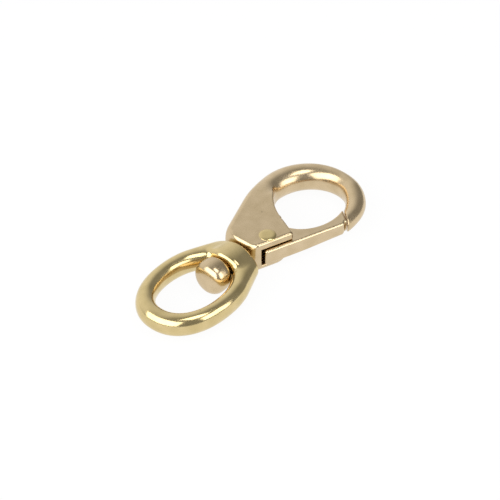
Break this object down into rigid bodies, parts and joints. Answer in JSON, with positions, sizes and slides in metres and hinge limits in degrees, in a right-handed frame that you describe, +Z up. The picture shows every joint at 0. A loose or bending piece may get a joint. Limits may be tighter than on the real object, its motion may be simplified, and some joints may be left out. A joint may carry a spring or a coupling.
{
  "type": "swivel snap hook",
  "caption": "Cast brass swivel snap hook: a rounded loop with a spring-loaded gate on a riveted pin, and an oval eye that turns on a headed shank.",
  "frame": {"origin": "centre of the eye's opening, on the swivel axis, at the middle of the part's thickness", "axes": "+X along the swivel axis towards the hook's far end, -Y towards the gate, +Z up as it lies flat"},
  "size_m": [0.0987, 0.038, 0.0125],
  "materials": {
    "hook_brass": "satin tumbled cast brass",
    "eye_brass": "polished cast brass",
    "gate_brass": "satin brass",
    "pin_brass": "satin brass",
    "spring_steel": "bright spring wire"
  },
  "bodies": {
    "hook": {"hook_body": "hook_brass", "gate_pin": "pin_brass", "gate_spring": "spring_steel"},
    "eye": {"swivel_eye": "eye_brass"},
    "gate": {"gate": "gate_brass"}
  },
  "joints": [
    {"name": "swivel", "type": "hinge", "parent": "hook", "child": "eye", "pos_m": [0, 0, 0], "axis": [1, 0, 0], "continuous": true},
    {"name": "gate_pivot", "type": "hinge", "parent": "hook", "child": "gate", "pos_m": [0.0312, -0.0048, 0], "axis": [0, 0, 1], "range_deg": [0, 28], "stiffness_Nm_per_rad": 0.18, "springref_deg": -18.91, "deforming": ["gate_spring"]}
  ]
}
